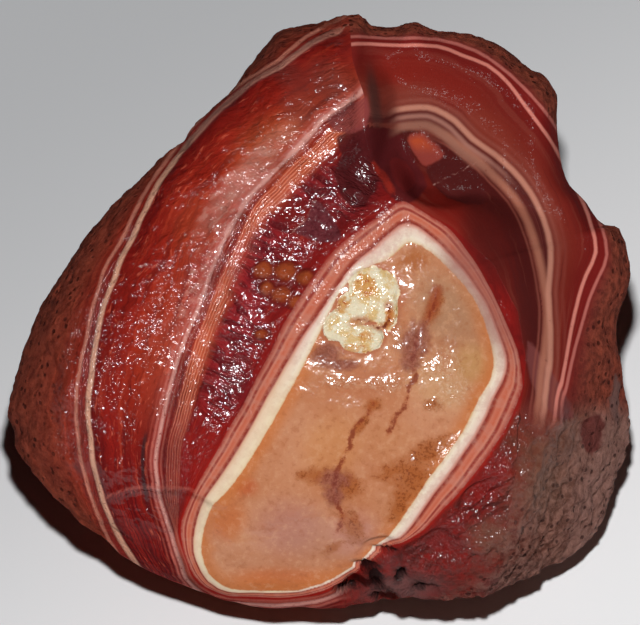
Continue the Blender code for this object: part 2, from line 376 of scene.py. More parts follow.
def hollow(places, spread):
    """How deep the upper right hollow is."""
    off = beside(np.array(RIDGE), places)
    steep = smooth(WALL_FOOT, WALL_TOP, places[:, 1])
    wall = HOLLOW_SLOPE + (HOLLOW_WALL - HOLLOW_SLOPE) * steep
    fade = smooth(HOLLOW_FOOT, HOLLOW_TOP, places[:, 1]) * (1.0 - smooth(0.74, 0.98, spread))
    return HOLLOW_DEPTH * smooth(0.0, wall, off) * fade


def flake(places):
    """How deep the lower left flake is."""
    off = beside(np.array(FLAKE_EDGE), places)
    ends = smooth(-24.5, -18.5, places[:, 0]) * (1.0 - smooth(-13.0, -9.0, places[:, 0]))
    return FLAKE_DEPTH * smooth(0.0, 0.5, off) * (1.0 - smooth(1.0, FLAKE_LENGTH, off)) * ends


def trough(places):
    """How deep the wrinkled trough is."""
    off = np.abs(beside(np.array(TROUGH), places))
    return TROUGH_DEPTH * (1.0 - smooth(0.35 * TROUGH_REACH, TROUGH_REACH, off))


def turned(off, turn):
    """The parts of each offset along and across a direction, turned by degrees from the level."""
    cosine, sine = math.cos(math.radians(turn)), math.sin(math.radians(turn))
    return off[:, 0] * cosine + off[:, 1] * sine, off[:, 1] * cosine - off[:, 0] * sine


def oval(places, centre, wide, tall, turn=0.0):
    """How far each place is from an oval's middle, 1 at its edge."""
    across, up = turned(places - np.array(centre), turn)
    return np.hypot(across / wide, up / tall)


def dents(places, points):
    """How deep the dents and the rim's holes are together."""
    deep = np.zeros(len(places))
    for centre, wide, tall, depth, turn in DENTS:
        deep += depth * (1.0 - smooth(0.35, 1.0, oval(places, centre, wide, tall, turn)))
    for centre, radius, depth in HOLES:
        far = np.linalg.norm(points - np.array(centre), axis=1) / radius
        deep += depth * (1.0 - smooth(0.25, 1.0, far))
    return deep


def lumps(points, spread, front):
    """The height of the husk's lumps, which the worn face has hardly any of."""
    husk = np.where(front, smooth(0.62, 0.97, spread), 1.0)
    height = sum(size * crumple(points, spacing) for spacing, size in LUMPS)
    return height * (0.12 + 0.88 * husk)


def fine_surface(points, places, fields):
    """The height of pits, wrinkles and grain that are too small for the solid, in millimetres."""
    husk, wrinkle, low_zone = fields["husk"], fields["wrinkle"], fields["lower_right"]
    near, second = cells(points, PIT_SPACING)
    pits = np.maximum(PIT_RADIUS - near, 0.0) * PIT_SLOPE
    webs = smooth(0.30, 0.0, second - near) * WEB_HEIGHT
    grain = crumple(points, 1.2, 3) * GRAIN_HEIGHT
    along_folds, over_folds = turned(places, FOLD_TURN)
    crossed = np.column_stack((along_folds / FOLD_STRETCH, over_folds, points[:, 2] / FOLD_STRETCH))
    folds = np.abs(crumple(crossed, 1.9, 2)) * FOLD_DEPTH
    ripple = crumple(points, 3.4, 2) * RIPPLE_HEIGHT
    smooth_part = np.clip(1.0 - husk - wrinkle, 0.0, 1.0)
    height = husk * (grain - pits + webs * low_zone) - wrinkle * folds
    crags = 0.5 - np.abs(crumple(points, 2.6, 3))
    height += CRAG_HEIGHT * crags * low_zone * smooth(0.4, 2.0, fields["salmon_off"])
    height -= CAVITY_DEPTH * smooth(0.0, 0.6, fields["cavity"])
    height += smooth_part * ripple * (1.0 - 0.85 * smooth(0.0, 1.0, fields["ridge_off"]))
    knobs = KNOB_BASE + KNOB_HEIGHT * crumple(points, 1.3, 2)
    height += smooth(0.02, 0.30, fields["patch"]) * knobs
    height -= CRACK_DEPTH * smooth(0.40, 0.05, fields["patch_crack"])
    height += EYE_HEIGHT * smooth(0.0, 0.9, fields["eyes"])
    height += LENS_HEIGHT * smooth(0.0, 0.4, -fields["lens_off"])
    for name, _, relief, _ in FACETS:
        height += relief * smooth(0.25, -0.35, fields[name])
    return height


def leaned(points):
    """Points of the face frame, in metres, as the stone lies on its foot."""
    sine, cosine = math.sin(FACE_LEAN), math.cos(FACE_LEAN)
    lying = np.column_stack((
        points[:, 0],
        points[:, 1] * sine - points[:, 2] * cosine,
        points[:, 1] * cosine + points[:, 2] * sine,
    ))
    lying[:, 2] = np.maximum(lying[:, 2], -FOOT_DROP)
    return (lying + np.array(MIDDLE_ABOVE_FOOT)) * MM


def blob(places, ovals):
    """A soft mark from several ovals: above 0 inside them, in radii."""
    return np.max([1.0 - oval(places, *shape) for shape in ovals], axis=0)


def linear(red, green, blue):
    """A colour given as it looks on a screen, 0 to 255, as light."""
    parts = (value / 255.0 for value in (red, green, blue))
    return tuple(part / 12.92 if part <= 0.04045 else ((part + 0.055) / 1.055) ** 2.4 for part in parts)


def rgb(red, green, blue):
    """The same, as the shader takes it."""
    return (*linear(red, green, blue), 1.0)


# Marks of the core and face. Ovals have a centre, a half width, a half height and mostly a turn in degrees.
# PATCH_CRACK, VEINS and PAINTED_GLINT_LINES are lines, and LENS is an outline.
PATCH = (
    ((5.3, 2.3), 2.7, 2.0, -15.0), ((4.3, 0.4), 2.7, 1.7, 0.0), ((6.4, 0.4), 1.3, 2.4, 8.0),
    ((2.3, -1.3), 2.0, 1.6, 20.0), ((1.5, -2.0), 1.3, 1.1, 0.0), ((3.8, -2.9), 2.1, 1.4, -8.0),
    ((5.2, -2.7), 1.1, 1.3, 0.0),
)
AMBER = (
    ((4.4, 2.4), 1.6, 1.2, 0.0), ((6.9, -0.8), 0.7, 1.3, 0.0), ((3.3, -3.9), 1.5, 0.6, 0.0),
    ((1.9, 0.5), 1.4, 1.0, 30.0), ((4.6, -2.4), 1.2, 0.5, 0.0),
)
PATCH_CRACK = ((3.2, -1.2), (4.3, -0.95), (5.2, -1.5), (5.9, -1.8), (6.6, -1.6), (6.9, -0.2), (6.7, 0.5))
MOSS = (
    ((9.4, -3.2), 1.4, 1.9, -12.0), ((9.0, -4.9), 1.0, 1.3, 0.0), ((0.7, -4.4), 1.6, 1.2, 20.0),
    ((1.4, -16.8), 1.6, 1.0, 0.0), ((1.4, -18.4), 0.9, 1.2, 0.0), ((2.2, -5.4), 1.6, 0.6, 0.0),
)
VEINS = (
    ((11.6, 1.9), (11.2, 0.2), (10.4, -1.6), (9.6, -3.0), (9.2, -5.4), (9.6, -6.6), (8.8, -7.6),
     (8.7, -8.6), (8.3, -9.8), (7.5, -10.6), (6.9, -12.3)),
    ((5.3, -9.3), (4.6, -10.6), (3.5, -11.6), (2.8, -13.6), (2.2, -15.0), (1.6, -16.2), (1.5, -18.6),
     (2.2, -20.4), (1.7, -22.0)),
)
CAVITIES = (
    ((4.6, -25.5), 1.7, 0.55, -8.0), ((5.6, -26.7), 0.9, 1.1, 20.0), ((2.6, -27.6), 1.5, 0.5, 10.0),
    ((8.0, -26.3), 0.6, 1.1, -30.0), ((6.4, -28.4), 1.6, 0.5, 0.0), ((10.4, -27.6), 1.3, 0.4, 12.0),
    ((6.6, -23.9), 1.8, 0.25, -12.0),
)
# Painted highlights: pale glint lines along the hollow's step and along the lens's edge
PAINTED_GLINT_LINES = (
    ((11.3, 12.5), (12.8, 13.4), (14.2, 14.0), (15.8, 14.8), (17.2, 14.9)),
    ((-2.9, 7.7), (-1.7, 8.6), (-0.9, 10.0), (-0.4, 10.9)),
)
RUST = (
    ((7.8, -15.9), 2.2, 0.7, 14.0), ((10.6, -14.2), 2.6, 1.0, 34.0), ((9.2, -16.6), 2.2, 1.9, 40.0),
    ((7.9, -19.0), 1.0, 2.4, -18.0), ((5.2, -9.4), 0.9, 0.7, 20.0), ((4.1, -11.4), 1.2, 0.5, 50.0),
    ((11.1, -9.4), 0.9, 0.6, 0.0), ((2.9, -17.4), 1.4, 1.2, 0.0), ((3.2, -21.6), 1.0, 1.6, 30.0),
    ((1.2, -23.7), 1.2, 0.4, 30.0), ((11.3, 0.4), 0.8, 1.7, -22.0), ((-0.4, -16.4), 1.6, 0.8, 0.0),
)
FROST = (
    ((12.2, -5.6), 3.4, 2.6, -30.0), ((13.4, -8.0), 2.6, 2.2, 0.0), ((6.6, -7.4), 3.4, 1.0, 0.0),
    ((2.0, -7.2), 2.6, 0.8, 0.0), ((7.6, -2.4), 0.8, 3.0, 0.0), ((11.2, -9.4), 1.4, 1.0, 0.0),
)
EYES = (
    ((-5.6, 3.9), 1.2, 1.1), ((-3.4, 3.8), 1.4, 1.2), ((-1.5, 3.2), 1.1, 0.9), ((-3.8, 1.5), 1.3, 1.0),
    ((-2.3, 0.8), 1.0, 0.8), ((-5.8, -2.4), 0.9, 0.6), ((-5.3, 2.2), 0.9, 0.9),
)
WRINKLED = (
    ((-1.5, 9.4), 3.4, 7.4, -44.0), ((-6.2, 4.2), 3.4, 5.4, -32.0), ((-8.4, -3.2), 2.7, 7.0, -22.0),
    ((2.8, 12.2), 3.0, 4.6, -42.0), ((-10.0, -8.4), 2.3, 3.6, -16.0),
)
CRINKLED = (
    ((-9.4, 10.4), 2.6, 5.4, -36.0), ((-5.2, 15.2), 2.0, 4.6, -46.0), ((-12.0, 3.2), 1.8, 6.0, -20.0),
)
PANE = ((-2.9, 9.8), 2.0, 1.5, -30.0)
LENS = (
    (-2.7, 7.8), (-1.6, 8.6), (-0.9, 10.0), (-0.4, 10.9), (0.6, 10.0), (1.6, 8.6), (2.1, 7.0), (0.2, 6.7),
    (-1.4, 7.2),
)

# Flat breaks of the ridge, the hollow and the right side: outline, relief in millimetres and colour
FACETS = (
    ("facet_end", ((1.6, 17.2), (4.4, 18.6), (5.2, 17.6), (7.2, 17.7), (5.6, 12.0), (3.2, 10.2), (1.4, 13.4),
                   (2.2, 15.4)), -0.12, (78, 27, 29)),
    ("facet_wall", ((4.4, 17.9), (7.2, 18.0), (8.7, 16.5), (9.5, 14.7), (10.7, 12.4), (8.6, 10.4),
                    (6.4, 12.0), (5.2, 14.8)), 0.0, (82, 26, 28)),
    ("facet_wedge", ((7.0, 15.2), (8.6, 14.6), (9.6, 12.8), (8.4, 11.8), (7.2, 13.2)), 0.05, (102, 30, 30)),
    ("facet_ember", ((5.2, 14.7), (5.8, 14.5), (7.5, 12.0), (6.9, 11.6)), 0.06, (142, 40, 30)),
    ("facet_mauve", ((1.0, 19.3), (4.6, 21.2), (4.6, 18.4), (2.0, 17.6), (1.0, 18.4)), -0.10, (136, 62, 60)),
    ("facet_cell", ((8.7, 17.0), (9.2, 17.6), (10.2, 17.7), (10.8, 17.3), (12.2, 16.0), (12.2, 15.3),
                    (11.1, 14.6), (10.4, 14.5), (9.6, 15.4)), -0.25, (142, 60, 52)),
    ("facet_step", ((10.6, 14.0), (12.9, 15.1), (15.2, 14.3), (16.6, 12.0), (16.2, 10.6), (12.8, 11.2)),
     -0.30, (76, 27, 26)),
    ("facet_slate", ((20.7, -3.0), (23.0, -6.0), (24.6, -8.6), (25.2, -10.4), (24.2, -11.0), (22.4, -9.6),
                     (21.0, -7.0)), -0.12, (112, 58, 56)),
    ("facet_brick", ((25.8, -11.8), (27.0, -10.4), (28.2, -10.8), (28.0, -12.6), (27.4, -14.2),
                     (26.2, -14.0)), -0.15, (104, 50, 46)),
    ("facet_pale", ((29.5, -6.4), (30.8, -9.6), (30.2, -12.4), (29.0, -10.4)), 0.0, (118, 86, 80)),
)

# Broad tints: centre, half width, half height, turn in degrees, colour and strength. Some stand in for
# painted light and shade, as noted at each.
DABS = (
    ((12.8, -0.2), 4.6, 6.4, 36.0, (166, 122, 92), 0.85),
    ((9.3, 4.9), 2.6, 1.8, 20.0, (168, 96, 50), 0.85),
    ((15.0, -5.4), 2.6, 3.0, 0.0, (184, 138, 88), 0.75),
    ((11.8, -7.6), 4.6, 3.0, -30.0, (196, 150, 108), 0.60),
    ((4.6, -7.2), 4.4, 2.6, 0.0, (178, 108, 76), 0.55),
    ((1.2, -13.6), 4.2, 5.0, -30.0, (196, 132, 84), 0.65),
    ((6.6, -13.0), 4.0, 3.2, 0.0, (190, 128, 88), 0.50),
    ((-3.0, -21.6), 5.4, 4.2, 0.0, (176, 116, 98), 0.80),
    ((3.4, -22.4), 3.8, 3.6, 0.0, (184, 124, 108), 0.70),
    ((-9.2, -21.0), 2.4, 3.4, -30.0, (188, 106, 62), 0.85),
    ((-7.4, -17.6), 1.8, 1.4, 0.0, (182, 86, 48), 0.75),
    ((-4.0, -26.8), 7.0, 1.6, 0.0, (192, 104, 58), 0.80),
    ((-5.0, 16.0), 4.4, 6.0, -48.0, (170, 82, 50), 0.55),
    ((-12.0, 9.0), 4.0, 5.0, -36.0, (164, 66, 42), 0.45),
    ((1.0, 22.6), 4.0, 3.0, -50.0, (112, 52, 44), 0.75),
    ((-3.0, 23.4), 4.6, 2.0, -40.0, (100, 44, 38), 0.60),
    ((3.0, 25.6), 2.0, 3.0, 0.0, (126, 36, 32), 0.60),
    ((-2.0, 20.0), 3.2, 2.4, -45.0, (116, 56, 46), 0.60),
    ((2.4, 11.8), 4.6, 5.6, -44.0, (84, 26, 30), 0.75),
    ((-6.6, 5.4), 2.6, 4.4, -34.0, (152, 34, 46), 0.60),
    ((-7.4, -1.0), 2.4, 4.4, -24.0, (150, 30, 40), 0.50),
    ((-2.9, 9.8), 2.2, 1.6, -30.0, (116, 28, 26), 0.85),
    # The next two pale tints are partly the upper flank's own colour and partly painted highlight where it
    # glints
    ((-8.2, 12.2), 1.9, 7.8, -40.0, (208, 142, 126), 0.60),
    ((-4.6, 16.6), 1.6, 4.4, -46.0, (196, 118, 92), 0.55),
    ((-8.4, -7.6), 2.6, 3.4, -20.0, (92, 26, 34), 0.70),
    ((-11.4, -14.2), 2.4, 4.4, -12.0, (142, 32, 28), 0.80),
    ((8.2, 24.0), 4.6, 2.6, 0.0, (128, 34, 26), 0.70),
    ((13.0, 22.0), 5.0, 3.0, -30.0, (124, 32, 26), 0.60),
    ((8.4, 21.2), 4.6, 1.8, 0.0, (132, 58, 46), 0.55),
    # A narrow grey-brown tint down the groove beside the ridge: painted shadow
    ((5.4, 21.0), 0.9, 4.6, 8.0, (70, 48, 44), 0.75),
    ((17.0, 17.6), 2.8, 4.4, 44.0, (128, 50, 38), 0.55),
    ((12.6, 10.2), 3.0, 2.2, -40.0, (118, 28, 22), 0.65),
    ((16.6, 5.6), 2.6, 6.0, 30.0, (74, 25, 23), 0.70),
    ((20.6, -1.0), 1.6, 7.0, 8.0, (70, 26, 24), 0.70),
    ((21.8, -11.0), 3.4, 3.0, 0.0, (112, 44, 42), 0.70),
    ((8.4, -27.6), 6.4, 2.2, 6.0, (100, 76, 74), 0.80),
    ((17.0, -16.6), 2.4, 4.4, -36.0, (138, 32, 30), 0.65),
    ((12.6, -22.4), 3.2, 2.6, -30.0, (128, 34, 32), 0.55),
    ((22.8, -18.2), 3.2, 4.2, -20.0, (122, 88, 66), 0.70),
    ((16.8, -22.6), 3.4, 2.6, -20.0, (118, 78, 62), 0.65),
    # Paler grey-pink at the far lower right: partly the husk's own colour, partly painted light
    ((27.0, -20.0), 3.0, 7.0, -20.0, (122, 96, 90), 0.75),
    ((20.0, -26.4), 6.0, 2.4, 20.0, (98, 78, 76), 0.75),
)


def dabbed(places):
    """The broad tints at each place: their mixed colour, and how much they cover."""
    colour = np.zeros((len(places), 3))
    cover = np.zeros(len(places))
    for centre, wide, tall, turn, tint, strength in DABS:
        part = strength * smooth(1.0, 0.25, oval(places, centre, wide, tall, turn))
        colour = colour * (1.0 - part)[:, None] + part[:, None] * np.array(linear(*tint))
        cover = cover * (1.0 - part) + part
    return colour / np.maximum(cover, 1e-6)[:, None], cover


def line_field(points, places):
    """The distance to a drawn line."""
    return np.abs(beside(rounded(points, CURVE_STEPS, False), places))


def colour_fields(places, worn, depth_under):
    """The measures that the paint is laid by, in millimetres or from 0 to 1."""
    salmon = around(SALMON_EDGE, places)
    core = around(CORE_EDGE, places)
    white = around(WHITE_EDGE, places)
    ridge_off = beside(np.array(RIDGE), places)
    fine_inner = along(FINE_INNER, places, 1.0)
    fine_outer = along(FINE_OUTER, places, 1.0)
    lines = {
        "pink_left": along(PINK_LEFT, places, 1.0),
        "inner_left": along(INNER_LEFT, places, 1.0),
        "outer_left": along(OUTER_LEFT, places, 1.0),
        "tan_right": along(TAN_RIGHT, places, -1.0),
        "pink_right": along(PINK_RIGHT, places, -1.0),
        "inner_right": along(INNER_RIGHT, places, -1.0),
        "outer_right": along(OUTER_RIGHT, places, -1.0),
    }
    rim = around(OUTLINE, places)
    left_run = (lines[name] for name in ("pink_left", "inner_left", "outer_left"))
    right_run = (lines[name] for name in ("tan_right", "pink_right", "inner_right", "outer_right"))
    left = nested((salmon, fine_inner, fine_outer, *left_run, rim))
    right = nested((salmon, *right_run, rim))
    lens_off = around(LENS, places)
    on_left = 1.0 - smooth(-0.3, 0.3, ridge_off)
    eyes = blob(places, EYES)
    bare = smooth(0.0, 0.5, lens_off) * smooth(0.0, 0.6, salmon) * smooth(0.4, -0.1, eyes)
    bare *= smooth(0.7, 1.2, oval(places, *PANE))
    wrinkle = smooth(-0.1, 0.4, blob(places, WRINKLED)) * bare * (1.0 - smooth(0.0, 0.9, fine_inner))
    crinkle = smooth(0.0, 0.6, blob(places, CRINKLED)) * smooth(0.2, 0.8, fine_outer) * on_left
    wrinkle = np.maximum(wrinkle, 0.35 * crinkle) * on_left
    slope = places[:, 0] - 0.35 * places[:, 1]
    lower_right = smooth(11.0, 13.5, slope) * smooth(-8.5, -12.0, places[:, 1]) * smooth(0.0, 0.5, salmon)
    husk_left = smooth(4.9, 5.7, left) * (ridge_off < 0.0)
    husk_right = smooth(3.9, 4.6, right) * (places[:, 0] > 0.0)
    husk_low = lower_right * smooth(20.0, 29.0, places[:, 0] - 0.6 * (places[:, 1] + 12.0))
    back = smooth(1.0, -4.0, depth_under)
    husk = np.clip(np.maximum.reduce((husk_left, husk_right, husk_low, back)), 0.0, 1.0)
    fields = {
        "across": places[:, 0],
        "up": places[:, 1],
        "core_off": -core,
        "salmon_off": salmon,
        "core_t": nested((core, white, salmon)),
        "left_t": left,
        "right_t": right,
        "ridge_off": ridge_off,
        "patch": blob(places, PATCH),
        "amber": blob(places, AMBER),
        "flake": line_field(FLAKE_EDGE, places),
        "patch_crack": line_field(PATCH_CRACK, places),
        "painted_glint_line": np.min([line_field(line, places) for line in PAINTED_GLINT_LINES], axis=0),
        "moss": blob(places, MOSS),
        "cavity": blob(places, CAVITIES),
        "rust": blob(places, RUST),
        "veins": np.min([line_field(vein, places) for vein in VEINS], axis=0),
        "frost": smooth(0.0, 0.7, blob(places, FROST)) * (core < 0.0),
        "eyes": eyes,
        "lens_off": lens_off,
        "wrinkle": wrinkle,
        "crinkle": crinkle,
        "lower_right": lower_right,
        "husk": husk,
        "rim": smooth(-6.0, -1.5, rim),
        "back": back,
        "worn": worn,
    }
    fields.update(lines)
    for name, outline, _, _ in FACETS:
        fields[name] = around(outline, places)
    return fields


def build_skin():
    """The stone's full surface, in place of the plain solid."""
    mesh, directions = even_net()
    points, spread, front = body(directions)
    unworn = points.copy()
    points, worn = flattened(points)
    outward = points / np.linalg.norm(points, axis=1)[:, None]
    places = points[:, :2].copy()
    sunk = hollow(places, spread) + flake(places) + trough(places)
    points[:, 2] -= np.where(front, sunk, 0.0)
    points -= outward * np.where(front, dents(places, points), 0.0)[:, None]
    swell = lumps(points, spread, front) * (1.0 - 0.75 * smooth(0.90, 1.0, spread))
    points += outward * swell[:, None]
    beyond = 2.0 / np.maximum(spread, 0.05) - 1.0
    unrolled = np.where(front[:, None], points[:, :2], unworn[:, :2] * beyond[:, None])
    fields = colour_fields(unrolled, worn, unworn[:, 2])
    points += outward * fine_surface(points, unrolled, fields)[:, None]
    mesh.vertices.foreach_set("co", leaned(points).ravel())
    for name, values in fields.items():
        mesh.attributes.new(name, "FLOAT", "POINT").data.foreach_set("value", values.astype(np.float32))
    colour, cover = dabbed(unrolled)
    tints = np.column_stack((colour, cover * front)).astype(np.float32)
    mesh.attributes.new("dabs", "FLOAT_COLOR", "POINT").data.foreach_set("color", tints.ravel())
    mesh.shade_smooth()
    mesh.update()
    skin = bpy.data.objects.new("stone_skin", mesh)
    bpy.context.scene.collection.objects.link(skin)
    return skin


class Paint:
    """Short ways to add the nodes that a procedural material is made of."""

    def __init__(self, material):
        material.use_nodes = True
        self.tree = material.node_tree
        self.shader = self.tree.nodes["Principled BSDF"]

    def link(self, value, socket):
        if isinstance(value, bpy.types.NodeSocket):
            self.tree.links.new(value, socket)
        else:
            socket.default_value = value

    def field(self, name, output="Fac"):
        node = self.tree.nodes.new("ShaderNodeAttribute")
        node.attribute_name = name
        return node.outputs[output]

    def maths(self, kind, first, second=0.0, third=0.0, clamp=False):
        node = self.tree.nodes.new("ShaderNodeMath")
        node.operation = kind
        node.use_clamp = clamp
        for value, socket in zip((first, second, third), node.inputs):
            self.link(value, socket)
        return node.outputs[0]

    def times(self, *values):
        product = values[0]
        for value in values[1:]:
            product = self.maths("MULTIPLY", product, value)
        return product

    def plus(self, *values):
        total = values[0]
        for value in values[1:]:
            total = self.maths("ADD", total, value)
        return total

    def less(self, value):
        """What is left of 1."""
        return self.maths("SUBTRACT", 1.0, value)

    def step(self, value, start, end):
        """0 at start and 1 at end, with a soft rise."""
        node = self.tree.nodes.new("ShaderNodeMapRange")
        node.interpolation_type = "SMOOTHSTEP"
        self.link(value, node.inputs["Value"])
        self.link(start, node.inputs["From Min"])
        self.link(end, node.inputs["From Max"])
        return node.outputs["Result"]

    def rise(self, name, start, end):
        """The same, of a field."""
        return self.step(self.field(name), start, end)

    def band(self, offset, half, soft):
        """1 on a line of this half width, 0 off it."""
        return self.step(self.maths("ABSOLUTE", offset), half + soft, half - soft)

    def mix(self, factor, first, second, blend="MIX"):
        """A mix of two colours, each an output, or red, green and blue from 0 to 255."""
        node = self.tree.nodes.new("ShaderNodeMix")
        node.data_type = "RGBA"
        node.blend_type = blend
        for value, index in ((factor, 0), (first, 6), (second, 7)):
            self.link(rgb(*value) if isinstance(value, tuple) else value, node.inputs[index])
        return node.outputs[2]

    def over(self, base, tint, *cover):
        """A colour laid over the base, by the product of its covers."""
        return self.mix(self.times(*cover), base, tint)

    def ramp(self, value, span, stops):
        """A run of colours along a value that goes from 0 to span."""
        node = self.tree.nodes.new("ShaderNodeValToRGB")
        self.link(self.maths("DIVIDE", value, span), node.inputs[0])
        elements = node.color_ramp.elements
        for element, (place, colour) in zip(elements, (stops[0], stops[-1])):
            element.position = place / span
            element.color = rgb(*colour)
        for place, colour in stops[1:-1]:
            elements.new(place / span).color = rgb(*colour)
        return node.outputs["Color"]

    def place(self):
        return self.tree.nodes.new("ShaderNodeTexCoord").outputs["Object"]

    def noise(self, size, detail=3.0, rough=0.55, vector=None, warp=0.0):
        """Noise from 0 to 1, with features of this size in millimetres."""
        node = self.tree.nodes.new("ShaderNodeTexNoise")
        self.link(vector or self.place(), node.inputs["Vector"])
        node.inputs["Scale"].default_value = 1.0 / (size * MM) if vector is None else 1.0 / size
        node.inputs["Detail"].default_value = detail
        node.inputs["Roughness"].default_value = rough
        node.inputs["Distortion"].default_value = warp
        return node.outputs["Fac"]

    def cells(self, size):
        """The distance to the nearest of scattered seeds this far apart."""
        node = self.tree.nodes.new("ShaderNodeTexVoronoi")
        self.link(self.place(), node.inputs["Vector"])
        node.inputs["Scale"].default_value = 1.0 / (size * MM)
        return node.outputs["Distance"]

    def joined(self, *parts):
        node = self.tree.nodes.new("ShaderNodeCombineXYZ")
        for part, socket in zip(parts, node.inputs):
            self.link(part, socket)
        return node.outputs[0]

    def split(self):
        """The three parts of a point's place."""
        node = self.tree.nodes.new("ShaderNodeSeparateXYZ")
        self.link(self.place(), node.inputs[0])
        return node.outputs

    def streaks(self, measure, tightness, length=11.0, detail=5.0):
        """Noise drawn out along the bands, to about this length in millimetres."""
        slow = 1.0 / (length * MM)
        x, y, z = (self.times(part, slow) for part in self.split())
        x = self.maths("MULTIPLY_ADD", measure, tightness, x)
        return self.noise(1.0, detail, 0.6, self.joined(x, y, z))

    def relief(self, height, socket):
        """One of the shader's normals over a height in millimetres."""
        node = self.tree.nodes.new("ShaderNodeBump")
        node.inputs["Strength"].default_value = 1.0
        node.inputs["Distance"].default_value = MM
        self.link(height, node.inputs["Height"])
        self.link(node.outputs["Normal"], self.shader.inputs[socket])


class StonePaint(Paint):
    """The stone's paint, with the noises and zones that several of its layers share."""

    def __init__(self, material):
        super().__init__(material)
        self.wander = self.times(self.plus(self.noise(4.0, 3.0), -0.5), 0.22)
        self.grain = self.noise(1.0, 8.0, 0.68)
        self.speck = self.noise(0.42, 5.0, 0.7)
        self.left_t = self.plus(self.field("left_t"), self.wander)
        self.across = self.field("across")
        self.up = self.field("up")
        self.husk = self.field("husk")
        self.wrinkle = self.field("wrinkle")
        self.low_zone = self.field("lower_right")
        self.side = self.rise("ridge_off", -0.05, 0.05)
        self.dabs = self.field("dabs", "Color")
        self.cover = self.field("dabs", "Alpha")
        self.pitted = self.times(self.husk, self.step(self.cells(0.95), 0.30, 0.14))
        self.folds = self.folded()

    def folded(self):
        """Noise drawn out along the folds, which run down to the right across the bands."""
        cosine, sine = math.cos(math.radians(FOLD_TURN)), math.sin(math.radians(FOLD_TURN))
        along_folds = self.plus(self.times(self.across, cosine), self.times(self.up, sine))
        over_folds = self.plus(self.times(self.across, -sine), self.times(self.up, cosine))
        stretched = self.joined(self.times(along_folds, 0.42), self.times(over_folds, 1.25), 0.0)
        return self.noise(1.0, 2.0, 0.5, stretched, warp=0.7)

    def frayed(self, name, amount, level=None):
        """A field whose edges are frayed by the grain."""
        return self.plus(self.field(name), self.times(self.grain, amount), -(level or 0.5 * amount))

    def grained(self, start, end, first, second):
        """Two colours that the grain picks between."""
        return self.mix(self.step(self.grain, start, end), first, second)

    def lines(self, colour, breaks, drawn):
        """Thin lines along the bands, drawn over a colour."""
        for name, at, half, soft, tint, strength in drawn:
            off = self.plus(self.field(name), -at, self.times(self.wander, 0.8))
            colour = self.over(colour, tint, self.band(off, half, soft), strength, breaks)
        return colour


def left_bands(paint):
    """The bands of the left side, from the salmon edge out to the husk."""
    measure = paint.left_t
    high = paint.ramp(measure, 6.0, (
        (0.0, (128, 34, 32)), (0.9, (112, 30, 32)), (1.02, (182, 96, 66)), (1.5, (192, 104, 70)),
        (1.95, (178, 80, 54)), (2.05, (146, 50, 34)), (2.7, (138, 42, 32)), (3.0, (176, 96, 84)),
        (3.18, (160, 72, 52)), (3.4, (158, 60, 38)), (3.62, (146, 44, 32)), (3.85, (124, 34, 28)),
        (4.0, (108, 28, 26)), (4.5, (142, 46, 36)), (5.0, (128, 44, 34)), (5.3, (118, 50, 36)),
        (5.7, (106, 50, 37)), (6.0, (80, 44, 35)),
    ))
    low = paint.ramp(measure, 6.0, (
        (0.0, (150, 36, 30)), (0.5, (138, 32, 28)), (0.98, (132, 36, 34)), (1.05, (142, 62, 56)),
        (1.9, (128, 48, 46)), (2.05, (104, 28, 28)), (2.7, (140, 34, 30)), (3.0, (140, 60, 56)),
        (3.14, (104, 28, 28)), (3.35, (128, 34, 30)), (3.55, (112, 28, 27)), (3.72, (140, 38, 32)),
        (3.9, (98, 24, 25)), (4.0, (104, 26, 27)), (4.5, (140, 52, 46)), (5.0, (132, 50, 42)),
        (5.3, (122, 52, 39)), (5.7, (108, 52, 39)), (6.0, (84, 46, 38)),
    ))
    base = paint.mix(paint.step(paint.up, -16.0, -3.0), low, high)
    streak = paint.streaks(measure, 13.0)
    base = paint.over(base, (92, 26, 27), paint.step(streak, 0.50, 0.36), 0.55)
    base = paint.over(base, (186, 80, 54), paint.step(streak, 0.55, 0.72), 0.40)
    dashes = paint.streaks(measure, 26.0, 1.5, 2.0)
    spread = paint.step(measure, 0.9, 1.3)
    base = paint.over(base, (82, 22, 22), paint.step(dashes, 0.42, 0.32), spread, 0.38)
    # Painted highlight: pale orange dashes along the bands stand in for the wet flank's glints
    painted_glint_dashes = paint.times(paint.step(dashes, 0.60, 0.70), spread, paint.step(measure, 5.4, 4.4))
    base = paint.over(base, (220, 124, 96), painted_glint_dashes, 0.36)
    stripes = paint.step(paint.streaks(measure, 30.0, 14.0, 2.0), 0.52, 0.44)
    lower = paint.times(paint.step(paint.up, -13.0, -19.0), paint.step(measure, 3.05, 3.2))
    lower = paint.times(lower, paint.step(measure, 4.0, 3.9))
    base = paint.over(base, (82, 22, 26), stripes, lower, 0.8)
    fine = paint.step(paint.maths("SINE", paint.times(measure, math.tau * FINE_LINES)), -0.2, 0.8)
    in_fine = paint.times(paint.step(measure, 1.0, 1.08), paint.step(measure, 2.0, 1.92))
    fade = paint.plus(0.35, paint.times(paint.step(paint.up, -14.0, -6.0), 0.6))
    return paint.over(base, (210, 142, 112), fine, in_fine, fade)


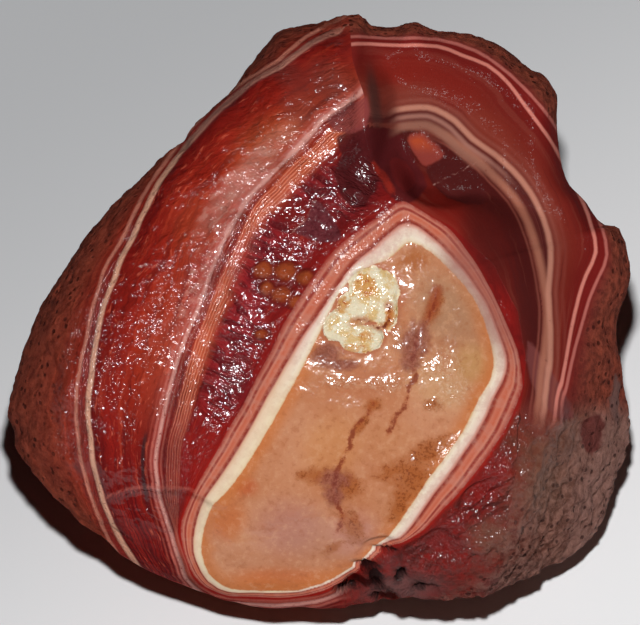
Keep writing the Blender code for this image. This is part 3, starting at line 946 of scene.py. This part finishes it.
def left_lines(paint, left):
    """The pink and pale lines of the left side, partly painted highlight, and the dark streak beside them."""
    # Painted highlight: pale pink strands in the crinkled band stand in for its clusters of glints
    painted_glint_strands = paint.streaks(paint.field("left_t"), 22.0, 1.1, 3.0)
    left = paint.over(left, (212, 150, 134), paint.field("crinkle"), paint.step(painted_glint_strands, 0.46, 0.66), 0.65)
    # The broad ribbon on the upper pink line is partly the band's own pink and partly painted highlight where
    # it glints
    pink_and_glint_ribbon = paint.times(paint.step(paint.up, 1.0, 8.0), paint.step(paint.noise(1.6), 0.38, 0.56))
    left = paint.lines(left, pink_and_glint_ribbon, (("pink_left", 0.05, 0.32, 0.22, (212, 156, 146), 0.80),))
    left = paint.lines(left, paint.step(paint.speck, 0.26, 0.46), (
        ("outer_left", 0.0, 0.17, 0.12, (198, 122, 102), 0.90),
        ("inner_left", 0.0, 0.24, 0.12, (212, 156, 130), 0.95),
        ("pink_left", -0.50, 0.08, 0.12, (176, 92, 78), 0.70),
        ("pink_left", 0.0, 0.18, 0.14, (212, 148, 136), 0.90),
        ("pink_left", 0.48, 0.12, 0.12, (186, 100, 88), 0.75),
        ("pink_left", 0.95, 0.06, 0.12, (164, 74, 60), 0.60),
        # The flake row is a painted highlight along the flake's broken edge
        ("flake", 0.05, 0.08, 0.14, (184, 92, 78), 0.50),
    ))
    shaded = paint.band(paint.field("inner_left"), 0.30, 0.25)
    left = paint.over(left, (134, 72, 68), paint.step(paint.up, 13.0, 19.0), shaded, 0.7)
    streak = paint.band(paint.plus(paint.field("pink_left"), -1.35), 0.18, 0.12)
    streak = paint.times(streak, paint.step(paint.up, -20.0, -17.0), paint.step(paint.up, -11.6, -13.0))
    return paint.over(left, (58, 32, 34), streak, 0.85)


def wrinkled_zone(paint, left):
    """The dark folds left of the core, with their amber eyes and the lens-shaped break."""
    dark = paint.mix(paint.step(paint.folds, 0.40, 0.60), (88, 22, 28), (152, 40, 44))
    dark = paint.over(dark, (190, 100, 98), paint.step(paint.speck, 0.55, 0.70), 0.4)
    magenta = paint.step(paint.plus(paint.across, paint.times(paint.up, -0.5)), -5.0, -9.0)
    left = paint.over(left, dark, paint.wrinkle, paint.plus(0.45, paint.times(magenta, 0.25)))
    eyes = paint.frayed("eyes", 0.5)
    left = paint.over(left, (98, 26, 24), paint.step(eyes, -0.30, -0.05), 0.75)
    amber = paint.mix(paint.step(eyes, 0.05, 0.60), (118, 38, 26), (158, 74, 38))
    clear = paint.plus(0.45, paint.times(paint.grain, 0.6))
    left = paint.over(left, amber, paint.step(eyes, -0.10, 0.30), clear)
    lens = paint.mix(paint.step(paint.speck, 0.30, 0.72), (84, 28, 34), (114, 54, 58))
    return paint.mix(paint.rise("lens_off", 0.15, -0.15), left, lens)


def left_side(paint):
    left = paint.mix(0.72, left_bands(paint), (255, 196, 188), "MULTIPLY")
    left = paint.over(left, paint.dabs, paint.cover, paint.plus(0.55, paint.times(paint.grain, 0.7)))
    return wrinkled_zone(paint, left_lines(paint, left))


def right_side(paint):
    """The bands of the hollow and the right side."""
    measure = paint.plus(paint.field("right_t"), paint.wander)
    base = paint.ramp(measure, 5.0, (
        (0.0, (128, 34, 26)), (0.35, (100, 28, 23)), (0.7, (78, 25, 23)), (0.95, (76, 26, 24)),
        (1.03, (112, 50, 42)), (1.22, (118, 56, 46)), (1.34, (98, 40, 36)), (1.7, (84, 34, 32)),
        (2.0, (116, 58, 50)), (2.2, (122, 50, 40)), (2.5, (116, 38, 30)), (2.8, (108, 30, 26)),
        (3.1, (112, 27, 25)), (3.9, (116, 30, 28)), (4.3, (96, 38, 36)), (5.0, (66, 36, 36)),
    ))
    streak = paint.streaks(measure, 8.0, 16.0, 3.0)
    base = paint.over(base, (150, 80, 66), paint.step(streak, 0.54, 0.70), 0.18)
    base = paint.over(base, (72, 26, 26), paint.step(streak, 0.46, 0.32), 0.35)
    return paint.over(base, paint.dabs, paint.cover, paint.plus(0.70, paint.times(paint.grain, 0.5)))


def right_lines(paint, colour):
    """The tan and pink lines of the hollow and the right side."""
    on_right = paint.times(paint.side, paint.step(paint.speck, 0.20, 0.40), paint.step(paint.up, -12.5, -8.5))
    clear = paint.times(on_right, paint.step(paint.across, 10.5, 13.0))
    arcs = paint.times(on_right, paint.step(paint.across, 6.5, 8.5))
    high_arcs = paint.times(arcs, paint.step(paint.up, 11.5, 15.5))
    colour = paint.lines(colour, clear, (
        ("tan_right", 0.45, 0.36, 0.30, (168, 106, 86), 0.85),
        ("tan_right", -0.35, 0.10, 0.12, (140, 74, 62), 0.60),
    ))
    colour = paint.lines(colour, high_arcs, (
        ("pink_right", -1.75, 0.42, 0.30, (150, 100, 84), 0.80),
        ("pink_right", -0.85, 0.22, 0.20, (170, 116, 102), 0.75),
    ))
    colour = paint.lines(colour, arcs, (
        ("pink_right", 0.0, 0.26, 0.18, (190, 128, 108), 0.90),
        ("pink_right", 0.75, 0.16, 0.22, (146, 78, 66), 0.55),
        ("pink_right", 1.45, 0.12, 0.22, (136, 64, 54), 0.45),
    ))
    return paint.lines(colour, on_right, (
        ("inner_right", 0.0, 0.17, 0.10, (206, 124, 110), 0.95),
        ("outer_right", 0.0, 0.15, 0.10, (184, 104, 94), 0.85),
    ))


def cream_patch(paint, base):
    """The cream patch near the core's top, its amber stains and its crack."""
    patch = paint.frayed("patch", 0.6)
    base = paint.over(base, (172, 98, 70), paint.step(patch, -0.42, -0.05), 0.6)
    tones = paint.noise(1.3, 5.0, 0.65)
    amber = paint.step(paint.plus(paint.field("amber"), paint.times(tones, 2.6), -1.3), 0.0, 0.5)
    fleck = paint.step(paint.noise(0.55, 4.0, 0.7), 0.54, 0.64)
    crack = paint.frayed("patch_crack", 0.9, 0.4)
    cream = paint.mix(paint.step(tones, 0.44, 0.60), (238, 224, 192), (226, 190, 132))
    cream = paint.over(cream, (214, 146, 72), amber, 0.75)
    cream = paint.over(cream, (186, 92, 38), amber, fleck, 0.85)
    cream = paint.over(cream, (250, 246, 232), paint.step(paint.speck, 0.60, 0.68), 0.7)
    cream = paint.over(cream, (190, 104, 50), paint.step(crack, 0.70, 0.20), 0.7)
    cream = paint.over(cream, (116, 42, 26), paint.step(crack, 0.25, 0.08), 0.9)
    return paint.mix(paint.step(patch, -0.03, 0.07), base, cream)


def core_stains(paint, base):
    """The core's rust and its dots, its veins and its moss."""
    rust = paint.step(paint.frayed("rust", 2.0), -0.55, 0.60)
    base = paint.over(base, (160, 86, 40), rust, 0.80)
    dots = paint.plus(paint.noise(0.26, 3.0, 0.6), paint.times(paint.grain, 0.5), paint.times(rust, 0.12))
    base = paint.over(base, (124, 60, 30), rust, paint.step(dots, 0.86, 1.0), 0.70)
    line = paint.frayed("veins", 1.5)
    base = paint.over(base, (146, 70, 44), paint.step(paint.up, -3.0, 1.0), paint.step(line, 0.9, 0.3), 0.75)
    base = paint.over(base, (170, 84, 44), paint.step(line, 0.45, 0.05), 0.50)
    base = paint.over(base, (120, 46, 30), paint.step(line, 0.28, 0.04), 0.75)
    moss = paint.plus(paint.times(paint.speck, 0.6), -0.3, paint.frayed("moss", 1.6))
    moss_colour = paint.mix(paint.step(paint.speck, 0.40, 0.64), (114, 52, 44), (150, 88, 74))
    return paint.over(base, moss_colour, paint.step(moss, -0.45, 0.50), 0.80)


def core_colour(paint):
    """The pale core, with its warm rim, its mottling and its frost, whose pale speckle is partly painted
    glint.
    """
    clouds = paint.noise(6.0, 4.0, 0.6)
    base = paint.mix(paint.step(clouds, 0.35, 0.65), (184, 118, 82), (194, 134, 100))
    cover = paint.times(paint.cover, paint.plus(0.75, paint.times(clouds, 0.5)))
    base = paint.mix(paint.maths("MINIMUM", cover, 1.0), base, paint.dabs)
    warm = paint.times(paint.rise("core_off", 1.7, 0.1), paint.step(paint.up, 6.0, -6.0))
    base = paint.over(base, (196, 112, 58), warm, 0.7)
    mottle = paint.noise(0.8, 6.0, 0.65)
    base = paint.over(base, (212, 160, 124), paint.step(mottle, 0.50, 0.66), 0.30)
    base = paint.over(base, (158, 88, 54), paint.step(mottle, 0.46, 0.34), 0.35)
    # Pale speckle in the frost: partly the core's frosted grain, partly painted glint
    base = paint.over(base, (220, 186, 156), paint.field("frost"), paint.step(paint.speck, 0.46, 0.66), 0.50)
    return cream_patch(paint, core_stains(paint, base))


def ring_colour(paint):
    """The white band and the salmon lines around the core, laid over the core's colour."""
    measure = paint.plus(paint.field("core_t"), paint.times(paint.wander, 0.6))
    rings = paint.ramp(measure, 2.0, (
        (0.0, (206, 168, 124)), (0.10, (222, 200, 172)), (0.3, (228, 212, 192)), (0.72, (220, 190, 174)),
        (0.92, (196, 128, 112)), (1.02, (132, 50, 42)), (1.12, (150, 64, 50)), (1.24, (190, 108, 86)),
        (1.42, (188, 96, 72)), (1.54, (196, 118, 96)), (1.63, (142, 56, 48)), (1.70, (148, 60, 50)),
        (1.78, (186, 112, 94)), (1.90, (166, 80, 68)), (2.0, (134, 42, 36)),
    ))
    cloudy = paint.mix(0.72, rings, (186, 134, 118))
    rings = paint.over(rings, cloudy, paint.step(paint.grain, 0.44, 0.62), 0.45)
    arm = paint.times(paint.step(paint.up, -1.0, 4.0), paint.step(paint.across, 9.0, 7.5))
    fibres = paint.times(paint.step(paint.noise(0.6, 4.0, 0.7), 0.52, 0.42), paint.step(measure, 1.0, 0.9))
    rings = paint.over(rings, (206, 160, 150), fibres, arm, 0.35)
    lower_left = paint.times(paint.step(paint.across, -1.0, -5.0), paint.step(measure, 1.0, 0.85))
    rings = paint.over(rings, (222, 196, 156), lower_left, 0.5)
    shade = paint.step(paint.plus(paint.across, paint.times(paint.up, -0.9)), 4.0, 10.0)
    rings = paint.over(rings, (146, 88, 78), shade, paint.step(paint.up, -7.0, -1.0), 0.70)
    edge = paint.frayed("core_off", 0.35, 0.17)
    return paint.mix(paint.step(edge, -0.07, 0.08), rings, core_colour(paint))


def low_corner(paint, colour):
    """The dark red and brown of the lower right, inside the crust."""
    low = paint.grained(0.40, 0.60, (126, 34, 30), (100, 36, 32))
    brown = paint.mix(paint.speck, (90, 56, 42), (134, 92, 68))
    low = paint.over(low, brown, paint.step(paint.across, 16.0, 23.5), 0.8)
    low = paint.over(low, paint.dabs, paint.cover, 0.9)
    return paint.mix(paint.low_zone, colour, low)


def husk_colour(paint):
    """The dull pitted crust, redder at the worn flats of the back."""
    low = paint.grained(0.38, 0.60, (94, 60, 52), (150, 106, 94))
    # Paler pink-grey towards the far right: partly the husk's own colour, partly painted light where the key
    # light falls short
    pink = paint.mix(paint.grain, (112, 74, 66), (190, 146, 134))
    low = paint.over(low, pink, paint.step(paint.across, 23.0, 28.5), 0.8)
    dull = paint.mix(paint.low_zone, paint.grained(0.36, 0.62, (102, 48, 37), (148, 72, 54)), low)
    worn = paint.frayed("worn", 1.2)
    bands = paint.ramp(worn, 4.0, (
        (0.0, (96, 50, 44)), (0.35, (110, 44, 38)), (0.5, (140, 70, 60)), (0.7, (118, 40, 34)),
        (1.1, (124, 36, 30)), (1.35, (162, 92, 78)), (1.6, (120, 34, 30)), (2.4, (100, 27, 26)),
        (2.6, (150, 70, 56)), (2.8, (112, 30, 28)), (4.0, (92, 26, 26)),
    ))
    shown = paint.times(paint.step(worn, 0.1, 0.9), paint.field("back"), paint.less(paint.low_zone))
    dull = paint.over(dull, bands, shown, 0.75)
    return paint.over(dull, (160, 122, 112), paint.step(paint.speck, 0.58, 0.72), paint.low_zone, 0.35)


def crusted(paint, colour):
    """The husk over the rim, the lower right and the whole back."""
    share = paint.plus(0.55, paint.times(paint.side, 0.35), paint.times(paint.low_zone, -0.10))
    crust = paint.maths("MAXIMUM", paint.times(paint.husk, share), paint.field("back"))
    return paint.mix(crust, colour, husk_colour(paint))


def facets_over(paint, colour):
    """The flat breaks, each with its own even colour, and two painted highlights: pale glint lines on the
    hollow's step and the lens's edge.
    """
    for name, _, _, tint in FACETS:
        colour = paint.over(colour, tint, paint.step(paint.frayed(name, 0.5), 0.20, -0.20), 0.90)
    top = paint.times(paint.rise("facet_cell", 0.1, -0.7), paint.step(paint.up, 15.4, 17.2))
    colour = paint.over(colour, (184, 76, 38), top, 0.70)
    # Painted highlight: pale glint lines along the hollow's step and the lens's edge
    pale = paint.times(paint.rise("painted_glint_line", 0.16, 0.03), paint.step(paint.grain, 0.38, 0.58))
    return paint.over(colour, (196, 144, 132), pale, 0.5)


def stone_colour(paint):
    """Every layer of colour, from the bands up to the core and its rings."""
    colour = paint.mix(paint.side, left_side(paint), right_side(paint))
    colour = crusted(paint, low_corner(paint, colour))
    colour = right_lines(paint, facets_over(paint, colour))
    colour = paint.over(colour, (36, 18, 18), paint.pitted, 0.7)
    # Painted shade: the rim's cavities darkened nearly black
    colour = paint.over(colour, (20, 12, 12), paint.step(paint.frayed("cavity", 1.2), -0.2, 0.5), 0.92)
    edge = paint.plus(paint.field("salmon_off"), paint.times(paint.wander, 0.6))
    return paint.mix(paint.step(edge, 0.06, -0.06), colour, ring_colour(paint))


def wet_film(paint, broken, on_patch, on_ring):
    """How much of the clear coat each place has."""
    gloss = paint.plus(
        0.80, paint.times(paint.husk, -0.62), paint.times(broken, -0.78),
        paint.times(paint.low_zone, paint.husk, 0.14), paint.times(paint.wrinkle, 0.20),
        paint.times(on_ring, -0.74), paint.times(paint.low_zone, -0.22), paint.times(on_patch, -0.40),
        paint.times(paint.field("rim"), -0.75),
    )
    return paint.maths("MAXIMUM", gloss, LEAST_GLOSS)


def stone_material():
    """Wet-looking banded agate with a dull pitted husk."""
    material = bpy.data.materials.new("banded_agate")
    paint = StonePaint(material)
    shader = paint.shader
    grain, speck = paint.grain, paint.speck
    husk, low_zone, wrinkle = paint.husk, paint.low_zone, paint.wrinkle
    paint.link(stone_colour(paint), shader.inputs["Base Color"])

    in_core = paint.rise("core_off", -0.1, 0.1)
    deep_core = paint.rise("core_off", 0.0, 0.9)
    on_patch = paint.rise("patch", 0.0, 0.2)
    on_ring = paint.times(paint.rise("salmon_off", 1.1, 0.1), paint.less(in_core))
    frost = paint.field("frost")
    broken = paint.maths("SUBTRACT", paint.side, paint.maths("MAXIMUM", in_core, low_zone), clamp=True)
    paint.link(wet_film(paint, broken, on_patch, on_ring), shader.inputs["Coat Weight"])
    paint.link(paint.plus(0.74, paint.times(husk, 0.14)), shader.inputs["Roughness"])
    shader.inputs["Specular IOR Level"].default_value = 0.0
    shader.inputs["Coat Roughness"].default_value = COAT_ROUGHNESS
    shader.inputs["Coat IOR"].default_value = COAT_IOR
    shader.inputs["IOR"].default_value = AGATE_IOR
    shader.inputs["Subsurface Weight"].default_value = GLOW_WEIGHT
    shader.inputs["Subsurface Radius"].default_value = GLOW_RADIUS
    shader.inputs["Subsurface Scale"].default_value = GLOW_SCALE

    patches = paint.plus(0.30, paint.step(paint.noise(5.0, 2.0), 0.36, 0.62))
    flank = paint.times(paint.rise("ridge_off", -0.1, -1.6), paint.rise("salmon_off", 0.0, 0.8))
    uneven = paint.times(flank, patches)
    creases = paint.maths("ABSOLUTE", paint.plus(paint.folds, -0.5))
    paint.relief(paint.plus(
        paint.times(speck, paint.plus(0.02, paint.times(husk, 0.12), paint.times(low_zone, 0.12))),
        paint.times(grain, paint.plus(0.04, paint.times(husk, 0.26), paint.times(low_zone, 0.30))),
        paint.times(paint.streaks(paint.left_t, 15.0, 1.3, 2.0), uneven, 0.30),
        paint.times(paint.noise(0.95, 2.0, 0.5), uneven, 0.24),
        paint.times(speck, flank, 0.05),
        paint.times(creases, wrinkle, -0.85),
        paint.times(paint.pitted, -0.16),
        paint.times(speck, frost, 0.12),
        paint.times(paint.noise(1.6, 4.0, 0.6), deep_core, 0.12),
        paint.times(speck, deep_core, 0.025),
        paint.times(speck, on_patch, 0.26),
    ), "Normal")
    paint.relief(paint.plus(
        paint.times(paint.streaks(paint.left_t, 9.0, 1.3, 1.0), uneven, 0.26),
        paint.times(paint.noise(0.7, 1.0, 0.5), uneven, 0.20),
        paint.times(paint.noise(0.4, 1.0, 0.5), paint.less(deep_core), 0.035),
        paint.times(creases, wrinkle, -0.32),
        paint.times(paint.noise(0.5, 1.0, 0.5), wrinkle, 0.07),
        paint.times(paint.noise(1.2, 2.0, 0.5), deep_core, 0.11),
        paint.times(paint.noise(0.6, 1.0, 0.5), frost, 0.10),
        paint.times(paint.noise(0.6, 1.0, 0.5), paint.maths("MAXIMUM", husk, low_zone), 0.34),
        paint.times(paint.noise(1.0, 3.0, 0.5), broken, 0.20),
        paint.times(paint.noise(0.6, 1.0, 0.5), on_patch, 0.12),
    ), "Coat Normal")
    return material


def dress_stone():
    """The skin stands in for the solid and takes its material slot."""
    skin = build_skin()
    skin.data.materials.append(stone_material())
    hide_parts("agate_nodule")
    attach(skin, "root")


# The camera, in millimetres but for its reach, which is in metres like the floor's half width
CAMERA_DISTANCE = 2000.0
PICTURE_WIDTH = 64.0
PICTURE_MIDDLE = (0.0, -0.25)
SENSOR_WIDTH = 36.0
CAMERA_REACH = 10.0
FLOOR_HALF = 1.5

# The lights, with places and sizes in millimetres
KEY_PLACE = (4.0, 104.0, 694.0)
KEY_SIZE = 24.0
KEY_WATTS = 4.9
LAMP_SIZE = 8.0
LAMP_WATTS = 0.48
ROOM_STRENGTH = 0.003

# Small lamps that only show as glints on the wet stone
SPARKLES = {
    "left_lamp": (-400.0, 120.0, 540.0),
    "far_left_lamp": (-600.0, 60.0, 340.0),
    "upper_left_lamp": (-260.0, 400.0, 500.0),
    "upper_lamp": (60.0, 330.0, 600.0),
    "inner_lamp": (-200.0, 150.0, 640.0),
    "low_left_lamp": (-480.0, -220.0, 460.0),
    "low_right_lamp": (240.0, -300.0, 580.0),
}


def face_point(*place):
    """A place of the face frame in the scene, in metres."""
    return Vector(leaned(np.array([place]))[0])


def place_camera():
    """A long lens that looks squarely at the worn face from far off."""
    data = bpy.data.cameras.new("camera")
    data.sensor_width = SENSOR_WIDTH
    data.lens = SENSOR_WIDTH * CAMERA_DISTANCE / PICTURE_WIDTH
    data.clip_end = CAMERA_REACH
    camera = bpy.data.objects.new("camera", data)
    bpy.context.scene.collection.objects.link(camera)
    camera.location = face_point(*PICTURE_MIDDLE, CAMERA_DISTANCE)
    camera.rotation_euler = (math.pi / 2.0 - FACE_LEAN, 0.0, 0.0)
    bpy.context.scene.camera = camera


def add_light(name, place, size, watts, glints_only=False):
    """A square soft light, its place in millimetres of the face frame, aimed at the stone."""
    data = bpy.data.lights.new(name, "AREA")
    data.shape = "SQUARE"
    data.size = size * MM
    data.energy = watts
    light = bpy.data.objects.new(name, data)
    bpy.context.scene.collection.objects.link(light)
    light.location = face_point(*place)
    aim = face_point(0.0, 0.0, 0.0) - light.location
    light.rotation_euler = aim.to_track_quat("-Z", "Y").to_euler()
    light.visible_diffuse = not glints_only


def build_floor():
    """A pale sheet of paper, darker towards its far left as a painted falloff of the light."""
    mesh = bpy.data.meshes.new("floor")
    corners = [(x * FLOOR_HALF, y * FLOOR_HALF, 0.0) for x, y in ((-1, -1), (1, -1), (1, 1), (-1, 1))]
    mesh.from_pydata(corners, [], [(0, 1, 2, 3)])
    floor = bpy.data.objects.new("floor", mesh)
    bpy.context.scene.collection.objects.link(floor)
    material = bpy.data.materials.new("pale_paper")
    paint = Paint(material)
    x, y, _ = paint.split()
    nearer = paint.plus(paint.times(x, 0.75), paint.times(y, -1.0))
    # Painted light: the sheet darkens away from the near right, standing in for the light's falloff
    sheet = paint.mix(paint.step(nearer, -0.075, 0.060), (189, 190, 192), (244, 244, 245))
    paint.link(sheet, paint.shader.inputs["Base Color"])
    paint.shader.inputs["Roughness"].default_value = 0.85
    paint.shader.inputs["Specular IOR Level"].default_value = 0.0
    mesh.materials.append(material)


def light_room():
    """One key light, small lamps for the glints, and a faint warm room."""
    world = bpy.data.worlds.new("room")
    bpy.context.scene.world = world
    world.use_nodes = True
    room = world.node_tree.nodes["Background"].inputs
    room["Color"].default_value = (1.0, 0.98, 0.96, 1.0)
    room["Strength"].default_value = ROOM_STRENGTH
    add_light("key", KEY_PLACE, KEY_SIZE, KEY_WATTS)
    for name, place in SPARKLES.items():
        add_light(name, place, LAMP_SIZE, LAMP_WATTS, glints_only=True)
    bpy.context.scene.view_settings.view_transform = "Standard"


dress_stone()
build_floor()
light_room()
place_camera()
